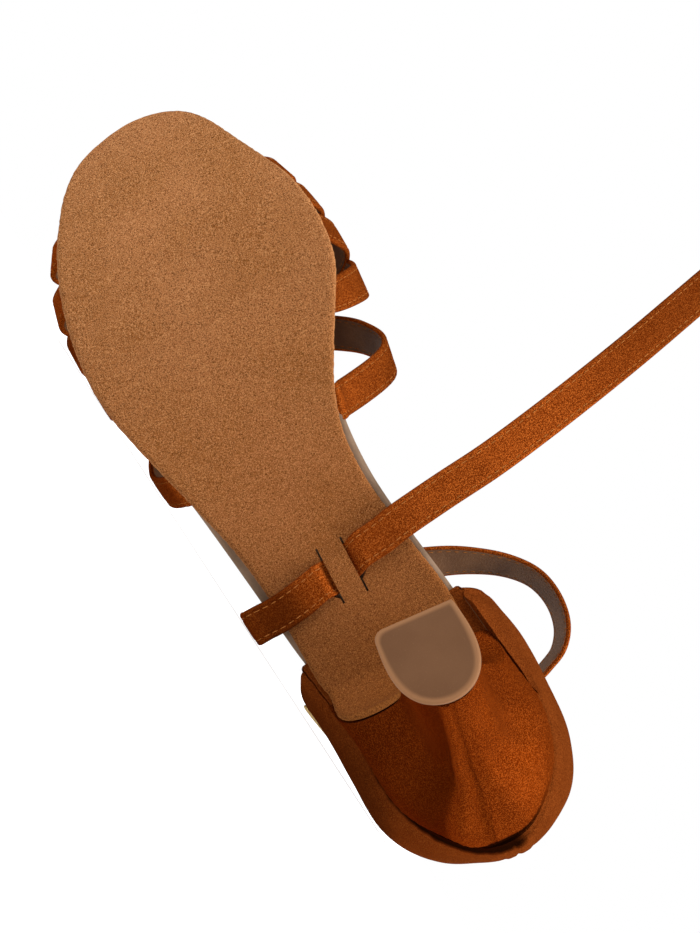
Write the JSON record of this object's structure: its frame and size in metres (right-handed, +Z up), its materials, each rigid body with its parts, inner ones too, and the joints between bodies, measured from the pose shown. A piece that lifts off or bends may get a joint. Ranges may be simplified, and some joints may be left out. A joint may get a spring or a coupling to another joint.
{
  "type": "women's Latin ballroom dance sandal, right shoe",
  "caption": "Strappy satin Latin dance sandal for the right foot with a thin suede sole, flared covered heel and a long ankle strap run through a keeper in the sole, lying on its outer side.",
  "frame": {"origin": "middle of the bounding box at floor level", "axes": "the shoe lies on its outer side: +Z up from the floor, +X from toe to heel, the sole faces -Y"},
  "size_m": [0.2204, 0.1008, 0.1743],
  "materials": {
    "suede": "brushed suede",
    "insole_board": "matte",
    "heel_satin": "satin cover on a moulded heel",
    "tip_rubber": "smooth matte",
    "counter_satin": "satin over a stiffener, lined",
    "strap_satin": "folded satin, edge-stitched",
    "gilt_metal": "polished gilt wire"
  },
  "bodies": {
    "shoe": {"outsole": "suede", "insole": "insole_board", "heel": "heel_satin", "heel_tip": "tip_rubber", "heel_counter": "counter_satin", "vamp_straps": "strap_satin", "ankle_strap": "strap_satin", "buckle_tab": "strap_satin"},
    "buckle": {"buckle_frame": "gilt_metal"},
    "prong": {"buckle_prong": "gilt_metal"}
  },
  "joints": [
    {"name": "buckle_swing", "type": "hinge", "parent": "shoe", "child": "buckle", "pos_m": [0.04419, 0.04283, 0.00467], "axis": [-0.0024, -0.9998, -0.0199], "range_deg": [-100, 80]},
    {"name": "prong_swing", "type": "hinge", "parent": "buckle", "child": "prong", "pos_m": [0.04419, 0.04283, 0.00467], "axis": [-0.0024, -0.9998, -0.0199], "range_deg": [0, 70]}
  ]
}
